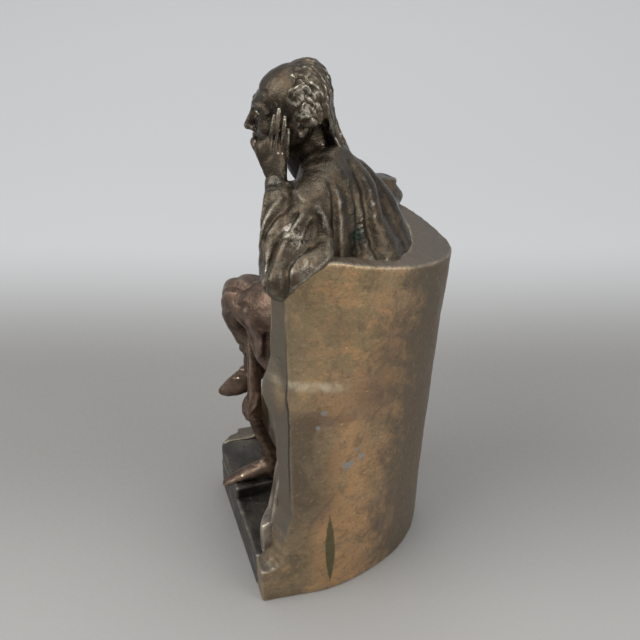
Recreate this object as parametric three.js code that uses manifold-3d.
// Bronze statuette of a seated, cloaked poet in a tall barrel chair.
// Millimetres. +Z is up, the plinth front faces -Y, the sitter's left hand is towards +X.

import * as THREE from 'three';
import { mergeVertices } from 'three/addons/utils/BufferGeometryUtils.js';
import Module from 'manifold-3d';

const wasm = await Module();
wasm.setup();

// Driving dimensions

const CLEARANCE = 0.3;          // between two castings that touch
const TURN = -14;               // the sitter and the chair rim, turned on the plinth, degrees

const BASE = {                  // outline of the chair and plinth on the table
  halfWidth: 48,
  front: -41.1,                 // at x = 0; the front runs a little askew
  askew: 0.054,
  shoulder: -15,                // where the straight side becomes the round back
  depth: 63,                    // from the shoulder to the back
  power: 1.8,
  cornerStart: -26,             // rounded front corner on the sitter's right, in x
  cornerEnd: -16,               // and in y
  backWall: 14,
};
const RIM = {                   // outline of the chair at the rim
  halfWidth: 50,
  front: -44,
  shoulder: -25,
  depth: 81.5,
  power: 1.7,
  backWall: 19,
  height: 168,                  // over the arm rests
  backHeight: 150,              // at the middle of the back
  frontHeight: 156,             // at the arm ends, under the sleeves
  slopeFrom: 4,
};
const WALL = 10;                // chair wall at the sides
const HOLLOW = 2.4;             // how square the chair is inside
const FLARE = 1.25;             // how late the wall starts to lean out
const ARM_FRONT = -24;          // front edge of the arm rest on the sitter's left
const ARM_SLANT = 0.42;         // the arm's end face runs forward towards the wall's outside
const PLINTH = { height: 18, skin: 4.5, pocket: 12.5 };
const TONGUE = { low: 6, high: 11, reach: 2 };
const STEP = { rise: 6, edge: -3.4, back: -17.8 };
const SEAT = { height: 118, slab: 22, nose: -19.5, recess: -5, apron: -17.5, apronTop: 80, skin: 6 };
const CHEEK = { x: 37, left: -25, right: -17, drop: 8, size: [7, 7.5, 18] };
const SITTER = { height: 112 }; // from the seat to the crown
const ROD = { radius: 2.5, x: 3, y: 14, bottom: 4.5, reach: 32 };
const BOSS = { radius: 7, reach: 38 };
const NUT = { across: 4.4, height: 4 };
const WASHER = { radius: 7, height: 1.2 };
const DOWEL = { radius: 1.5, reach: 5, behind: 14, drop: 3 };
const SCREW = { radius: 1.5, head: 2.8, headHeight: 2, top: 22, x: [-12, -26], y: -28 };
const FELT = { height: 1.2 };

// Small helpers

const solid = (geometry) => {
  const bare = new THREE.BufferGeometry();
  bare.setAttribute('position', geometry.getAttribute('position').clone());
  bare.setIndex(geometry.index ? geometry.index.clone() : null);
  const joined = mergeVertices(bare, 1e-4);
  const corners = Array.from(joined.index.array);
  const kept = [];
  for (let i = 0; i < corners.length; i += 3) {
    const [a, b, c] = [corners[i], corners[i + 1], corners[i + 2]];
    if (a !== b && b !== c && c !== a) kept.push(a, b, c);
  }
  return new wasm.Manifold(new wasm.Mesh({
    numProp: 3,
    vertProperties: new Float32Array(joined.getAttribute('position').array),
    triVerts: new Uint32Array(kept),
  }));
};

const box = (x, y, z) => {
  const shape = new THREE.BoxGeometry(x[1] - x[0], y[1] - y[0], z[1] - z[0]);
  shape.translate((x[0] + x[1]) / 2, (y[0] + y[1]) / 2, (z[0] + z[1]) / 2);
  return solid(shape);
};

const upright = (x, y, bottom, top, radius, sides = 18) => {
  const shape = new THREE.CylinderGeometry(radius, radius, top - bottom, sides);
  shape.rotateX(Math.PI / 2);
  shape.translate(x, y, (bottom + top) / 2);
  return solid(shape);
};

// A side profile in (y, z), drawn across from x[0] to x[1]; it may slant forward away from the middle.
const across = (profile, x, slant = 0, level = 0) => {
  const outline = new THREE.Shape(profile.map(([y, z]) => new THREE.Vector2(y, z)));
  const shape = new THREE.ExtrudeGeometry(outline, { depth: x[1] - x[0], bevelEnabled: false });
  shape.rotateX(Math.PI / 2);
  shape.rotateZ(Math.PI / 2);
  shape.translate(x[0], 0, 0);
  const spots = shape.getAttribute('position');
  for (let i = 0; i < spots.count; i += 1) {
    spots.setY(i, spots.getY(i) + (Math.abs(spots.getX(i)) - level) * slant);
  }
  return solid(shape);
};

// A plan in (x, y), drawn upwards.
const upwards = (plan, bottom, top) => {
  const shape = new THREE.ExtrudeGeometry(plan, { depth: top - bottom, bevelEnabled: false });
  shape.translate(0, 0, bottom);
  return solid(shape);
};
const corners = (points) => new THREE.Shape(points.map(([x, y]) => new THREE.Vector2(x, y)));

const turned = (piece) => piece.rotate([0, 0, TURN]);
const union = (pieces) => pieces.reduce((all, piece) => all.add(piece));

// The sitter's sketch is written for this height, with heights measured from the seat.
const SKETCH = 112;
const SIZE = SITTER.height / SKETCH;
const stepTop = PLINTH.height + STEP.rise;
const rise = (height) => SEAT.height + height * SIZE;
const fromRim = (height) => (RIM.height - SEAT.height) / SIZE + height;
const fromStep = (height) => (stepTop - SEAT.height) / SIZE + height;
const placed = ([x, y, height]) => [x * SIZE, y * SIZE, rise(height)];

// A rounded form of the sitter along a spine.
// A station is x, y, height, side radius, front radius, twist in degrees.
const limb = (stations, { around = 16, rings = 12, blunt = 3, power = 2, grow = 0, fold } = {}) => {
  const skin = grow / SIZE;
  const spine = new THREE.CatmullRomCurve3(stations.map((s) => new THREE.Vector3(s[0], s[1], s[2])));
  const girth = new THREE.CatmullRomCurve3(
    stations.map((s) => new THREE.Vector3(s[3], s[4] ?? s[3], s[5] ?? 0)));
  const ball = new THREE.SphereGeometry(1, around, rings);
  const spots = ball.getAttribute('position');
  const spot = new THREE.Vector3();
  for (let i = 0; i < spots.count; i += 1) {
    spot.fromBufferAttribute(spots, i);
    const along = Math.acos(THREE.MathUtils.clamp(spot.y, -1, 1)) / Math.PI;
    const turn = Math.atan2(spot.z, spot.x);
    const tangent = spine.getTangent(along);
    const guide = Math.abs(tangent.x) > 0.8 ? new THREE.Vector3(0, 1, 0) : new THREE.Vector3(1, 0, 0);
    const front = tangent.clone().cross(guide).normalize();
    const side = front.clone().cross(tangent).normalize();
    const [reachSide, reachFront, twist] = girth.getPoint(along).toArray();
    const end = Math.pow(Math.max(0, 1 - Math.pow(Math.abs(2 * along - 1), blunt)), 1 / blunt);
    const c = Math.cos(turn);
    const s = Math.sin(turn);
    const square = Math.pow(Math.pow(Math.abs(c), power) + Math.pow(Math.abs(s), power), -1 / power);
    const ripple = fold ? fold(along, turn) : 0;
    const a = (reachSide + skin) * c * square * end;
    const b = (reachFront + skin) * s * square * end;
    const stretch = 1 + ripple / Math.max(1, (reachSide + reachFront) / 2);
    const t = THREE.MathUtils.degToRad(twist);
    const reach = (end > 0 ? stretch : 1);
    const point = spine.getPoint(along);
    point.addScaledVector(side, (a * Math.cos(t) - b * Math.sin(t)) * reach);
    point.addScaledVector(front, (a * Math.sin(t) + b * Math.cos(t)) * reach);
    if (skin > 0 && along < 0.02) point.addScaledVector(tangent, -skin);
    if (skin > 0 && along > 0.98) point.addScaledVector(tangent, skin);
    spots.setXYZ(i, ...placed(point.toArray()));
  }
  return solid(ball);
};

const egg = (centre, radii, tilt = 0, around = 20, rings = 14) => {
  const shape = new THREE.SphereGeometry(1, around, rings);
  shape.rotateX(Math.PI / 2);
  shape.scale(radii[0], radii[1], radii[2]);
  shape.rotateX(THREE.MathUtils.degToRad(tilt));
  shape.translate(centre[0], centre[1], centre[2]);
  return solid(shape);
};

// The same for the sitter's sketch.
const bead = (centre, radii, { grow = 0, tilt = 0, around = 10, rings = 6 } = {}) => egg(
  placed(centre), radii.map((radius) => radius * SIZE + grow), tilt, around, rings);

// Chair wall: the table outline below, the rim outline above, one smooth sheet between

const outline = (plan, within, inset, angle) => {
  const half = plan.halfWidth - inset - (within ? WALL : 0);
  const depth = plan.depth - inset - (within ? plan.backWall : 0);
  const power = within ? HOLLOW : plan.power;
  const front = plan.front - (within ? 30 : 6);
  const sides = 24;
  const points = [[half, front], [half + 0.05, (front + plan.shoulder) / 2]];
  for (let i = 0; i <= sides; i += 1) {
    const turn = Math.PI * i / sides;
    const c = Math.cos(turn);
    const s = Math.sin(turn);
    points.push([
      half * Math.sign(c) * Math.pow(Math.abs(c), 2 / power),
      plan.shoulder + depth * Math.pow(Math.abs(s), 2 / power),
    ]);
  }
  points.push([-half - 0.05, (front + plan.shoulder) / 2]);
  points.push([-half, front]);
  const around = THREE.MathUtils.degToRad(angle);
  return points.map(([x, y]) => new THREE.Vector2(x, y).rotateAround(new THREE.Vector2(), around));
};

const bowl = (within, inset) => {
  const low = outline(BASE, within, inset, 0);
  const high = outline(RIM, within, inset, TURN);
  const shape = new THREE.ExtrudeGeometry(new THREE.Shape(low), {
    depth: RIM.height + 12,
    steps: 6,
    bevelEnabled: false,
  });
  const spots = shape.getAttribute('position');
  for (let i = 0; i < spots.count; i += 1) {
    const here = new THREE.Vector2(spots.getX(i), spots.getY(i));
    const place = high[low.findIndex((point) => point.distanceTo(here) < 1e-3)];
    const lean = Math.pow(spots.getZ(i) / RIM.height, FLARE);
    spots.setX(i, THREE.MathUtils.lerp(spots.getX(i), place.x, lean));
    spots.setY(i, THREE.MathUtils.lerp(spots.getY(i), place.y, lean));
  }
  return solid(shape);
};
const inside = (gap) => bowl(true, gap);

// Everything above the rim, which drops towards the back.
const aboveRim = (grow) => {
  const fall = (RIM.height - RIM.backHeight) / (RIM.shoulder + RIM.depth - RIM.slopeFrom);
  const dip = RIM.height - RIM.frontHeight;
  const profile = [[-90, RIM.frontHeight + grow - 8]];
  for (let i = 0; i <= 4; i += 1) {
    const run = i / 4;
    profile.push([-24 + 22 * run, RIM.height + grow - dip * (1 - run) * (1 - run)]);
  }
  for (let i = 1; i <= 4; i += 1) {
    const run = 12 * i / 4;
    profile.push([RIM.slopeFrom + run - 6, RIM.height + grow - fall * run * run / 24]);
  }
  profile.push([90, RIM.height + grow - fall * (90 - RIM.slopeFrom)]);
  profile.push([90, RIM.height + 90]);
  profile.push([-90, RIM.height + 90]);
  return turned(across(profile, [-90, 90]));
};

// What is cut away in front of an arm rest. The end face runs forward towards the seat.
const beforeArm = (hand, grow) => {
  const lean = (z) => (hand > 0 ? 0 : 17) * Math.pow(Math.max(0, z - 45) / (RIM.height - 45), 1.2);
  const front = ARM_FRONT - grow;
  const low = (hand > 0 ? PLINTH.height : stepTop) + grow;
  const profile = [
    [-120, low],
    [BASE.front - grow, low],
    ...(hand > 0
      ? [[front - 4.3, stepTop + 1], [front - 4.1, 33], [front + 0.6, 47]]
      : [[front + 3, low + 0.6], [front + 5, 33], [front + 6, 47]]),
    ...(hand > 0 ? [] : [0.2, 0.5, 0.78]).map((part) => 47 + (RIM.height - 47) * part)
      .map((z) => [front + 6 + lean(z), z]),
    [front + (hand > 0 ? 0 : 6) + lean(RIM.height + 32), RIM.height + 32],
    [-120, RIM.height + 32],
  ];
  return across(profile, hand > 0 ? [0, 80] : [-80, 0], ARM_SLANT, BASE.halfWidth - 2);
};

// The foot's plan: an askew front with one rounded corner.
const footprint = (gap) => {
  const front = (x) => BASE.front + BASE.askew * x + gap;
  const left = -BASE.halfWidth - 0.5 + gap;
  const plan = corners([[-90, 90], [90, 90], [90, front(90)], [BASE.cornerStart, front(BASE.cornerStart)]]);
  plan.quadraticCurveTo(left + 4.5, front(left) + 2.2, left, BASE.cornerEnd);
  plan.lineTo(-90, BASE.cornerEnd);
  plan.closePath();
  return upwards(plan, -5, RIM.height + 92);
};

const chair = (grow) => {
  const toes = footprint(-grow);
  return bowl(false, -grow)
    .subtract(inside(grow))
    .subtract(aboveRim(grow))
    .subtract(beforeArm(1, grow))
    .subtract(beforeArm(-1, grow))
    .intersect(toes);
};

const tongue = (grow) => inside(CLEARANCE - TONGUE.reach - grow)
  .intersect(box([-90, 90], [BASE.front + 12 - grow, 90], [TONGUE.low - grow, TONGUE.high + grow]));

const toeDowel = (hand, grow) => {
  const shape = new THREE.CylinderGeometry(
    DOWEL.radius + grow, DOWEL.radius + grow, 2 * (DOWEL.reach + grow), 16);
  shape.rotateZ(Math.PI / 2);
  shape.translate(hand * (BASE.halfWidth - WALL), BASE.front + DOWEL.behind, PLINTH.height - DOWEL.drop);
  return solid(shape);
};

const shell = chair(0)
  .subtract(tongue(CLEARANCE))
  .subtract(toeDowel(1, CLEARANCE))
  .subtract(toeDowel(-1, CLEARANCE));

// Plinth, felt and step

const plinthPocket = (gap) => inside(CLEARANCE + PLINTH.skin + gap)
  .intersect(footprint(PLINTH.skin + gap))
  .intersect(box([-90, 90], [-90, 90], [-1, PLINTH.pocket]));

const rodHole = (grow, bottom, top) => upright(ROD.x, ROD.y, bottom, top, ROD.radius + grow);

const plinth = inside(CLEARANCE)
  .intersect(footprint(0))
  .intersect(box([-90, 90], [-90, 90], [0, PLINTH.height]))
  .add(tongue(0))
  .subtract(plinthPocket(0))
  .subtract(toeDowel(1, CLEARANCE))
  .subtract(toeDowel(-1, CLEARANCE))
  .subtract(rodHole(CLEARANCE, 0, 40))
  .subtract(union(SCREW.x.map((x) => upright(x, SCREW.y, 1, 30, SCREW.radius + CLEARANCE, 12))));

const felt = plinthPocket(CLEARANCE).intersect(box([-90, 90], [-90, 90], [0, FELT.height]));

const stepForm = (grow) => inside(CLEARANCE - grow)
  .intersect(footprint(CLEARANCE - grow))
  .intersect(box(
    [-90, STEP.edge + grow],
    [-90, STEP.back + grow],
    [PLINTH.height + CLEARANCE - grow, stepTop + grow]));
const stepScrew = (x, grow) => upright(
  x, SCREW.y, PLINTH.pocket - 2 * CLEARANCE, SCREW.top + grow, SCREW.radius + grow, 12)
  .add(upright(x, SCREW.y, PLINTH.pocket - 2 * CLEARANCE - SCREW.headHeight,
    PLINTH.pocket - CLEARANCE, SCREW.head + grow, 16));
const screwHoles = union(SCREW.x.map((x) => upright(
  x, SCREW.y, 1, SCREW.top + CLEARANCE, SCREW.radius + CLEARANCE, 12)));
const step = stepForm(0).subtract(screwHoles);

// Seat casting: apron below, dark recess, rounded seat slab on top

const seatBottom = PLINTH.height + CLEARANCE;
const slabBottom = SEAT.height - SEAT.slab;
const seatProfile = [
  [90, seatBottom],
  [90, SEAT.height],
  [SEAT.nose + 4, SEAT.height],
  [SEAT.nose + 1, SEAT.height - 4],
  [SEAT.nose, SEAT.height - 10],
  [SEAT.nose + 1.5, slabBottom + 4],
  [SEAT.nose + 5, slabBottom],
  [SEAT.recess, slabBottom - 3],
  [SEAT.recess + 1, SEAT.apronTop + 3],
  [SEAT.apron, SEAT.apronTop],
  [SEAT.apron, seatBottom],
];

const apronWedge = union([
  upwards(corners([[4, SEAT.apron], [40, SEAT.apron - 11], [40, 0], [4, 0]]), seatBottom, 58),
  upwards(corners([[14, SEAT.apron], [31, SEAT.apron - 15], [40, SEAT.apron - 9], [40, 0]]), seatBottom, 36),
]);

// Swellings of the seat front beside both arm rests.
const seatCheeks = (grow) => union([-1, 1].map((hand) => egg(
  [hand * CHEEK.x, hand > 0 ? CHEEK.left : CHEEK.right, SEAT.height - CHEEK.drop],
  CHEEK.size.map((size) => size + grow), 0, 14, 10)));

const seat = across(seatProfile, [-90, 90])
  .add(apronWedge)
  .add(seatCheeks(0))
  .intersect(inside(CLEARANCE))
  .subtract(chair(CLEARANCE))
  .subtract(inside(CLEARANCE + SEAT.skin).intersect(
    box([-90, 90], [SEAT.recess + 1 + SEAT.skin, 90], [0, SEAT.height - SEAT.skin])))
  .subtract(stepForm(CLEARANCE))
  .subtract(rodHole(CLEARANCE, 0, SEAT.height + 20));

// The sitter, drawn facing -Y and turned with the chair rim

// Soft creases that fade at both ends of a limb: depth, number around, how much they wind.
const creases = (depth, count, winding) => (along, turn) => depth * Math.sin(Math.PI * along)
  * Math.cos(count * turn + winding * along);

// Raised pleats of the cloak: direction in degrees, 90 at the back, and height.
const PLEATS = [[60, 1.6], [43, 1.5], [20, 1.3], [77, 1.1], [115, 0.8], [134, 1.1], [174, 1.0]];
const cloakFold = (along, turn) => {
  const back = Math.max(0, Math.sin(turn));
  const low = THREE.MathUtils.smoothstep(1 - along, 0.15, 0.75);
  const swell = low * (0.35 + back) * 0.9 * Math.cos(7 * turn + 4 * along);
  const high = THREE.MathUtils.smoothstep(along, 0.25, 0.5);
  return PLEATS.reduce((sum, [place, height]) => {
    const round = THREE.MathUtils.euclideanModulo(THREE.MathUtils.radToDeg(turn) - place + 180, 360);
    const away = (round - 180) / 6.5;
    return sum + high * height * Math.exp(-away * away);
  }, swell);
};

const torsoForm = (grow) => limb([
  [0, 11, -12, 36, 24, 0],
  [0, 11, 4, 41, 28, 0],
  [0, 10.5, 22, 42, 28, 0],
  [0, 10, 34, 41, 27.6, 0],
  [0.4, 9.6, 42, 37, 25.2, -2],
  [1, 9, 48, 33.4, 22.4, -6],
  [2.6, 8, 54, 30, 20, -8],
  [4.6, 6.8, 60, 25.4, 16.8, -9],
  [5, 4.8, 66, 20, 13.8, -9],
  [3.4, 3.2, 71, 15.4, 10.8, -8],
  [1.5, 2, 75, 11, 8.8, 0],
  [0, 0.6, 79, 8.6, 8, 0],
  [0, -1, 84, 8, 8, 0],
], { around: 44, rings: 17, blunt: 12, power: 2.3, grow, fold: cloakFold });

const chestFold = (along, turn) => 1.1 * Math.sin(Math.PI * along) * Math.cos(12 * (turn + 1.62));
const chestForm = (grow) => limb([
  [1, -4, 69, 7, 5],
  [0.6, -7, 58, 13, 8],
  [0, -10, 47, 17, 10],
  [0, -9, 27, 20.6, 12.6],
  [0, -8, 0, 24, 12],
], { around: 36, rings: 10, blunt: 8, grow, fold: chestFold });

// The open hollow between the neck, the left hand and the right shoulder.
const throat = box([-90, 90], [-90, -8.6 * SIZE], [0, 90])
  .rotate([0, -23.7, 0])
  .translate([0, 0, rise(61.6)]);

const robeForm = (grow) => torsoForm(grow).add(chestForm(grow)).subtract(throat);

const upperArmLeft = (grow) => limb([
  [18, 0, 71, 7, 7],
  [26, -2.5, 65, 10.5, 9],
  [32, -6, 55.4, 11.5, 10],
  [38, -10, fromRim(-4), 11.5, 10.5],
  [42, -13, fromRim(-9.4), 9.5, 8.4],
  [42.6, -14, fromRim(-16.6), 5, 5],
], { around: 18, rings: 11, grow, fold: creases(0.9, 5, 6) });

const foreArmLeft = (grow) => limb([
  [41, -13, fromRim(-16), 7, 7],
  [38, -14.5, fromRim(-7.6), 9, 8.6],
  [33, -15, fromRim(0.6), 8.5, 7.8],
  [26.5, -15.6, 60, 7.3, 6.1],
  [21.5, -16.4, 66.4, 5.8, 5],
  [18.6, -17.3, 75, 4.4, 4.4],
], { around: 16, rings: 12, grow, fold: creases(0.7, 4, 9) });

const sleeveDrape = (grow) => limb([
  [46, -21, fromRim(-12.6), 4.4, 3],
  [47.5, -15.4, fromRim(-9.6), 6, 6.2],
  [48, -8, fromRim(-5.2), 6.5, 7],
  [45.5, -1, fromRim(0), 5.5, 4.8],
  [42, 4, fromRim(3.2), 3, 3],
], { around: 16, rings: 12, grow, fold: creases(0.7, 4, 8) });

const sleeveLeft = (grow) => union([upperArmLeft(grow), foreArmLeft(grow), sleeveDrape(grow)]);

const sleeveRight = (grow) => union([
  limb([
    [-14, 12.4, 53.4, 7, 7],
    [-21, 18.2, 49.4, 9.5, 9.8],
    [-27, 22.4, 44.6, 10.2, 11],
    [-32, 25.6, 40, 6, 7],
  ], { around: 14, rings: 8, grow, fold: creases(0.7, 4, 7) }),
  limb([
    [-27.5, 27.5, 46.5, 6, 6],
    [-31, 22.5, 43.8, 9.6, 10.4],
    [-36, 17, fromRim(-4.4), 9.5, 10],
    [-41, 7, fromRim(3.5), 7.5, 6.5],
    [-43.5, -1, fromRim(5.5), 5, 4.5],
  ], { around: 14, rings: 10, grow, fold: creases(0.7, 4, 8) }),
]);

const handRight = (grow) => union([
  limb([[-43, 3, fromRim(5), 3.2, 2.6], [-43.5, -3, fromRim(5), 4, 2.6], [-44, -8, fromRim(3.6), 4.2, 2.2]],
    { grow, rings: 8 }),
  ...[-3, -1, 1, 3].map((offset, i) => limb([
    [-44 + offset, -6, fromRim(4.4), 1.2, 1.3],
    [-44 + offset * 1.15, -11 - (i % 3), fromRim(3.6), 1.2, 1.2],
    [-44 + offset * 1.1, -13 - (i % 3), fromRim(1.6), 0.9, 0.9],
  ], { grow, around: 6, rings: 5 })),
]);

// The left palm carries the jaw. A finger is its place and height at the knuckle, then at the tip.
const handLeft = (grow) => union([
  limb([
    [18.9, -17.2, 70.6, 3.2, 3.4],
    [17.2, -18, 77, 3.2, 4.6],
    [15.6, -18.5, 81, 3, 5.4],
    [14.9, -17.2, 84.6, 2.4, 4.4],
    [14.5, -16.2, 88, 1.4, 2.6],
  ], { grow, rings: 10 }),
  ...[[-18.7, 84, -16.9, 95], [-16.5, 84.2, -15.2, 97.4], [-14.3, 82.8, -13.1, 94.6], [-12.6, 81, -11.9, 89.8]]
    .map(([knuckle, low, tip, high]) => limb([
      [15.2, knuckle, low - 2.5, 1.2, 1.2],
      [15.1, (knuckle + tip) / 2, (low + high) / 2, 1.2, 1.2],
      [13, tip, high + 0.6, 0.9, 0.9],
    ], { grow, around: 6, rings: 5 })),
  limb([[16, -21, 79, 1.6, 1.6], [13, -23.6, 82.4, 1.7, 1.6], [9, -25, 84, 1.1, 1.2]],
    { grow, around: 8, rings: 6 }),
]);

const neckForm = (grow) => limb([
  [0, 6, 66, 9, 9],
  [0, 1, 76, 8.4, 8.6],
  [0, -4, 86, 8, 8.6],
  [0, -7, 94, 7, 8],
], { around: 14, rings: 8, grow });

const headForm = (grow) => union([
  bead([0, -9.8, 97.5], [12.6, 15.2, 13.6], { grow, tilt: 8, around: 16, rings: 11 }),
  bead([0, -17.2, 86.5], [9.6, 8.8, 12], { grow, tilt: 6, around: 14, rings: 8 }),
]);

const face = () => {
  const nose = limb([[0, -24.6, 94, 1.2, 1.2], [0, -26.4, 90, 1.5, 1.6], [0, -27.4, 86.6, 1.9, 1.9],
    [0, -25.6, 85.2, 1.6, 1.2]], { around: 8, rings: 6 });
  const brow = limb([[-8, -20.4, 94.4, 1, 1], [-4, -23.6, 95.4, 1.3, 1.3], [0, -24.4, 94.8, 1.1, 1.1],
    [4, -23.6, 95.4, 1.3, 1.3], [8, -20.4, 94.4, 1, 1]], { around: 6, rings: 10 });
  const lips = [[82.2, 1.0], [80.6, 1.1]].map(([height, size]) => limb([
    [-3.4, -23.8, 81.4, 0.4, 0.4],
    [0, -25.4, height, size, size],
    [3.4, -23.8, 81.4, 0.4, 0.4],
  ], { around: 6, rings: 6 }));
  const chin = bead([0, -23.4, 76.6], [3.4, 2.6, 2.6]);
  const ears = [-1, 1].map((hand) => bead([hand * 11.8, -7, 90], [1.6, 2.6, 3.8], { tilt: -8, around: 8 }));
  return union([nose, brow, ...lips, chin, ...ears]);
};

const eyeSocket = (hand) => bead([hand * 4.6, -25.6, 92.2], [2.7, 2.6, 1.7]);
const eyeBall = (hand) => bead([hand * 4.4, -22.2, 92], [2.3, 2.1, 1.7]);

const hairForm = (grow) => union([
  limb([
    [0, -9, 108.8, 7.2, 2.6],
    [0, -2.8, 109, 9, 3.3],
    [0, 0.8, 102.8, 9.8, 3.2],
    [0, 2.4, 94, 9.2, 2.8],
    [0, 4.4, 85, 8, 2.6],
    [0, 8, 78, 7, 2.5],
    [0, 11.8, 72, 5, 2],
  ], { around: 22, rings: 14, grow, blunt: 5, fold: (a, t) => 0.45 * Math.cos(12 * t) }),
  ...[-1, 1].map((hand) => bead([hand * 10.3, -4.6, 98.4], [3.3, 5.8, 7.2], { grow, around: 12, rings: 8 })),
]);

// Legs: the left one is crossed over the right one, whose shoe stands on the step

const legLeft = (grow) => limb([
  [12, -14, 13, 10, 9.5],
  [8, -24, 13, 9.5, 8.5],
  [3.5, -33.5, 11.6, 8.4, 7.6],
  [-2, -36.6, 2, 6.8, 6],
  [-8.5, -34.2, -13, 5.4, 5.2],
  [-13.5, -31.4, -28, 4.8, 4.6],
  [-15, -31, -40, 5, 5],
  [-15.2, -31, -43, 4, 4],
], { around: 14, rings: 13, grow, fold: creases(0.6, 3, 10) });

const shoeLeft = (grow) => limb([
  [-15, -30.8, -30, 2.6, 2.8],
  [-15.1, -31, -37, 3.2, 4],
  [-15.3, -33.4, -43.6, 3.7, 5.8],
  [-15.8, -38.2, -48.4, 4.1, 5.6],
  [-16.2, -42.8, -51.4, 3.8, 4],
  [-16.5, -48.2, -53.6, 2.6, 2.4],
], { around: 14, rings: 10, grow });
const leftSole = rise(-56.2);

const legRight = (grow) => limb([
  [-12, -8, 9, 8.4, 7.6],
  [-10, -18, 8, 8.2, 7.4],
  [-7, -26, 3, 7.4, 6.6],
  [-4.8, -29, -10, 5.4, 4.6],
  [-4.4, -29.6, -26, 4.6, 3],
  [-4.2, -29.9, fromStep(56), 4.4, 2.8],
  [-4, -30.4, fromStep(47), 4.7, 3.3],
  [-4, -31.4, fromStep(41), 5.6, 5],
  [-4, -31.2, fromStep(33), 4.8, 4.6],
], { around: 14, rings: 14, grow, fold: creases(0.4, 3, 9) });

const shoeRight = (grow) => union([
  limb([
    [-4, -30.8, fromStep(37), 2.8, 3],
    [-3.8, -29.4, fromStep(30), 3.1, 3.3],
    [-3, -26.6, fromStep(22), 3, 3.3],
    [-2.2, -23.6, fromStep(14), 3.4, 3.5],
    [-2, -22.4, fromStep(7), 3.8, 3.9],
    [-2, -22.2, fromStep(1), 3.8, 3.6],
  ], { around: 12, rings: 10, grow }),
  limb([
    [-2.4, -19.4, fromStep(4), 3.2, 3.4],
    [-2.2, -25, fromStep(6), 4.3, 4.8],
    [-1.8, -31, fromStep(4.4), 4.5, 3.8],
    [-1, -38, fromStep(1.8), 4.4, 2.8],
    [0.2, -48, fromStep(-3), 2.4, 1.6],
  ], { around: 14, rings: 10, grow }),
]);

const lapForm = () => union([
  limb([
    [16, 6, 11, 14, 11],
    [16, -8, 13, 13.5, 11],
    [14, -20, 12.6, 11.5, 10],
    [9, -30, 10.6, 8.6, 8.6],
  ], { around: 20, rings: 10, fold: (a, t) => 0.8 * Math.cos(5 * t + 6 * a) }),
  limb([
    [14, -16, 20, 9, 8],
    [14, -19, 8, 10.5, 11],
    [13.4, -20, -6, 8, 8.4],
    [12, -20.6, -16, 5, 5],
    [11, -20.6, -23, 2.4, 2.4],
  ], { around: 20, rings: 12, fold: (a, t) => 0.8 * Math.cos(5 * t + 3 * a) }),
]);

// Pins between the sitter's castings: both ends in the sketch and the radius.
const PINS = {
  neck_pin: [[0, 1, 69.5], [0, 0, 83.5], 2.2],
  left_wrist_pin: [[18.6, -17.4, 67], [17.6, -17.9, 76.5], 1.5],
  right_wrist_pin: [[-42.6, 4, fromRim(5)], [-43.3, -3, fromRim(5)], 1.2],
  left_shoulder_pin: [[15, -1, 58], [31, -5, 55], 2],
  right_shoulder_pin: [[-13, 13.6, 51.5], [-27, 21.5, 44.2], 1.7],
  left_hip_pin: [[11, -9, 12], [11, -25, 13], 2],
  right_hip_pin: [[-11, -9, 9], [-9.6, -23, 7.5], 2],
  left_ankle_pin: [[-14.6, -31, -33], [-15.1, -31, -43], 1.2],
  right_ankle_pin: [[-4, -30.8, fromStep(40.5)], [-3.7, -29.2, fromStep(29)], 1.2],
};

const pin = (name, grow) => {
  const [from, to, radius] = PINS[name];
  const start = new THREE.Vector3(...placed(from));
  const line = new THREE.Vector3(...placed(to)).sub(start);
  const size = radius * SIZE + grow;
  const shape = new THREE.CylinderGeometry(size, size, line.length() + 2 * grow, 10);
  const level = new THREE.Quaternion().setFromUnitVectors(
    new THREE.Vector3(0, 1, 0), line.clone().normalize());
  shape.applyQuaternion(level);
  shape.translate(...start.addScaledVector(line, 0.5).toArray());
  return solid(shape);
};

const pinHoles = union(Object.keys(PINS).map((name) => pin(name, CLEARANCE)));

// Cutting the sitter into its castings

const g = CLEARANCE;
const neckLine = rise(76.5);
const headSocket = rise(72.3);
const wristLine = rise(73.9);
const rodTop = SEAT.height + ROD.reach;
const seatTop = SEAT.height + g;
const above = (height) => box([-90, 90], [-90, 90], [height, RIM.height + 200]);
const below = (height) => box([-90, 90], [-90, 90], [-10, height]);

const rodInFigure = new THREE.Vector2(ROD.x, ROD.y).rotateAround(
  new THREE.Vector2(), THREE.MathUtils.degToRad(-TURN));
const rodBoss = upright(rodInFigure.x, rodInFigure.y, seatTop, SEAT.height + BOSS.reach, BOSS.radius);
const rodRib = box([-90, 90], [rodInFigure.y - 3, rodInFigure.y + 3], [0, RIM.height + 60]);
const cloakCore = limb([
  [0, 12, -18, 22, 14],
  [0, 12, 2, 28, 17],
  [0, 11.5, 22, 30, 18],
  [2, 10, 37, 24, 14],
  [3, 9, 48, 18, 10],
  [4, 8, 57, 10, 5],
], { around: 16, rings: 8, blunt: 8 })
  .subtract(rodRib)
  .subtract(rodBoss);

const cloak = robeForm(0)
  .add(neckForm(0))
  .intersect(below(neckLine - g))
  .intersect(above(seatTop))
  .subtract(cloakCore)
  .subtract(sleeveLeft(g))
  .subtract(sleeveRight(1.5 * g))
  .subtract(hairForm(g))
  .subtract(pinHoles)
  .subtract(upright(rodInFigure.x, rodInFigure.y, 60, rodTop + g, ROD.radius + g));

const seatClear = box([-90, 90], [SEAT.nose - g, 90], [-10, SEAT.height + g]).add(seatCheeks(g));
const fitted = (piece) => turned(piece).subtract(chair(g)).subtract(seatClear);
const mainBody = (piece) => {
  const bodies = piece.decompose();
  return bodies.reduce((best, body) => (body.volume() > best.volume() ? body : best));
};

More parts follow.
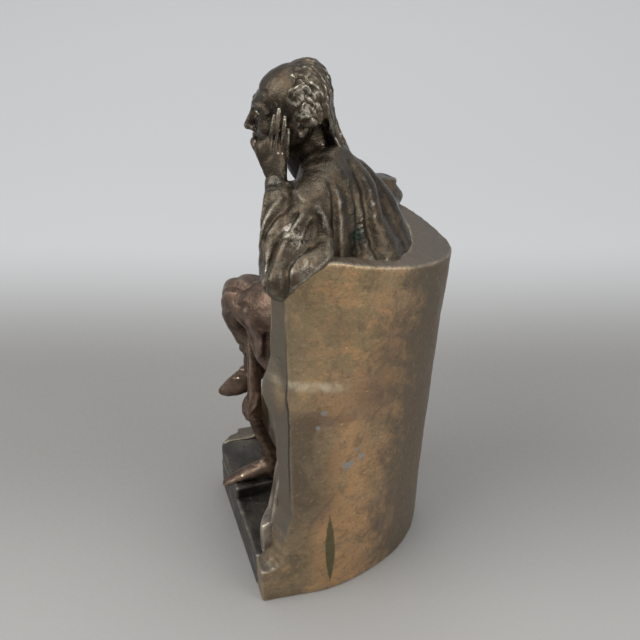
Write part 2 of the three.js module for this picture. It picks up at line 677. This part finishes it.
const head = headForm(0)
  .add(neckForm(0).intersect(above(neckLine)))
  .add(face())
  .subtract(eyeSocket(1))
  .subtract(eyeSocket(-1))
  .add(eyeBall(1))
  .add(eyeBall(-1))
  .intersect(above(headSocket))
  .subtract(robeForm(g).intersect(below(neckLine)))
  .subtract(hairForm(g))
  .subtract(handLeft(g))
  .subtract(pinHoles);

const hair = hairForm(0).subtract(pinHoles);

const leftSleeve = sleeveLeft(0)
  .intersect(below(wristLine))
  .subtract(handLeft(g))
  .subtract(pinHoles);

const leftHand = handLeft(0).subtract(pinHoles);

const rightSleeve = sleeveRight(0).subtract(handRight(g)).subtract(pinHoles);
const rightHand = handRight(0).subtract(pinHoles);

const lap = lapForm()
  .subtract(robeForm(g))
  .subtract(legLeft(g))
  .subtract(legRight(g))
  .subtract(sleeveLeft(g))
  .subtract(pinHoles);

const leftLeg = legLeft(0).subtract(shoeLeft(g)).subtract(robeForm(g)).subtract(pinHoles);
const leftShoe = shoeLeft(0).intersect(above(leftSole)).subtract(pinHoles);
const rightLeg = legRight(0)
  .subtract(legLeft(g))
  .subtract(shoeRight(g))
  .subtract(robeForm(g))
  .subtract(pinHoles);
const rightShoe = turned(shoeRight(0).subtract(pinHoles))
  .subtract(stepForm(g))
  .subtract(box([-90, 90], [SEAT.apron - g, 90], [0, SEAT.height]));

// Fixings

const tieRod = upright(ROD.x, ROD.y, ROD.bottom, rodTop, ROD.radius);
const washer = upright(ROD.x, ROD.y, PLINTH.pocket - g - WASHER.height, PLINTH.pocket - g, WASHER.radius)
  .subtract(rodHole(g, 0, 40));
const nut = upright(ROD.x, ROD.y, PLINTH.pocket - 2 * g - WASHER.height - NUT.height,
  PLINTH.pocket - 2 * g - WASHER.height, NUT.across, 6)
  .subtract(rodHole(g, 0, 40));

// Assembly

const statue = new THREE.Group();
statue.name = 'poet_statue';

const BRONZE = { color: 0x6a5640, roughness: 0.42, metalness: 0.9 };
const GOLDEN = { color: 0x86724c, roughness: 0.45, metalness: 0.85 };
const COPPER = { color: 0x6e4f3c, roughness: 0.4, metalness: 0.9 };
const DARK = { color: 0x4a4238, roughness: 0.5, metalness: 0.8 };
const STEEL = { color: 0x8d9094, roughness: 0.35, metalness: 1 };
const CLOTH = { color: 0x24382c, roughness: 0.95, metalness: 0 };

const surface = (piece) => {
  const body = piece.getMesh();
  const shape = new THREE.BufferGeometry();
  shape.setAttribute('position', new THREE.BufferAttribute(new Float32Array(body.vertProperties), 3));
  shape.setIndex(new THREE.BufferAttribute(new Uint32Array(body.triVerts), 1));
  return shape;
};

const place = (name, piece, finish) => {
  const shape = surface(mainBody(piece));
  shape.computeVertexNormals();
  const mesh = new THREE.Mesh(shape, new THREE.MeshStandardMaterial(finish));
  mesh.name = name;
  statue.add(mesh);
};

place('chair_shell', shell, GOLDEN);
place('plinth', plinth, DARK);
place('foot_step', step, DARK);
place('seat_casting', seat, DARK);
place('cloak_torso', fitted(cloak), BRONZE);
place('head', turned(head), BRONZE);
place('hair', turned(hair), BRONZE);
place('left_sleeve', fitted(leftSleeve), BRONZE);
place('left_hand', turned(leftHand), BRONZE);
place('right_sleeve', fitted(rightSleeve), BRONZE);
place('right_hand', fitted(rightHand), BRONZE);
place('lap_drapery', fitted(lap), COPPER);
place('left_leg', fitted(leftLeg), COPPER);
place('left_shoe', turned(leftShoe), BRONZE);
place('right_leg', fitted(rightLeg), COPPER);
place('right_shoe', rightShoe, BRONZE);
Object.keys(PINS).forEach((name) => place(name, turned(pin(name, 0)), STEEL));
SCREW.x.forEach((x, i) => place(`step_screw_${i + 1}`, stepScrew(x, 0), STEEL));
place('toe_dowel_left', toeDowel(1, 0), STEEL);
place('toe_dowel_right', toeDowel(-1, 0), STEEL);
place('tie_rod', tieRod, STEEL);
place('rod_washer', washer, STEEL);
place('rod_nut', nut, STEEL);
place('base_felt', felt, CLOTH);

export default statue;
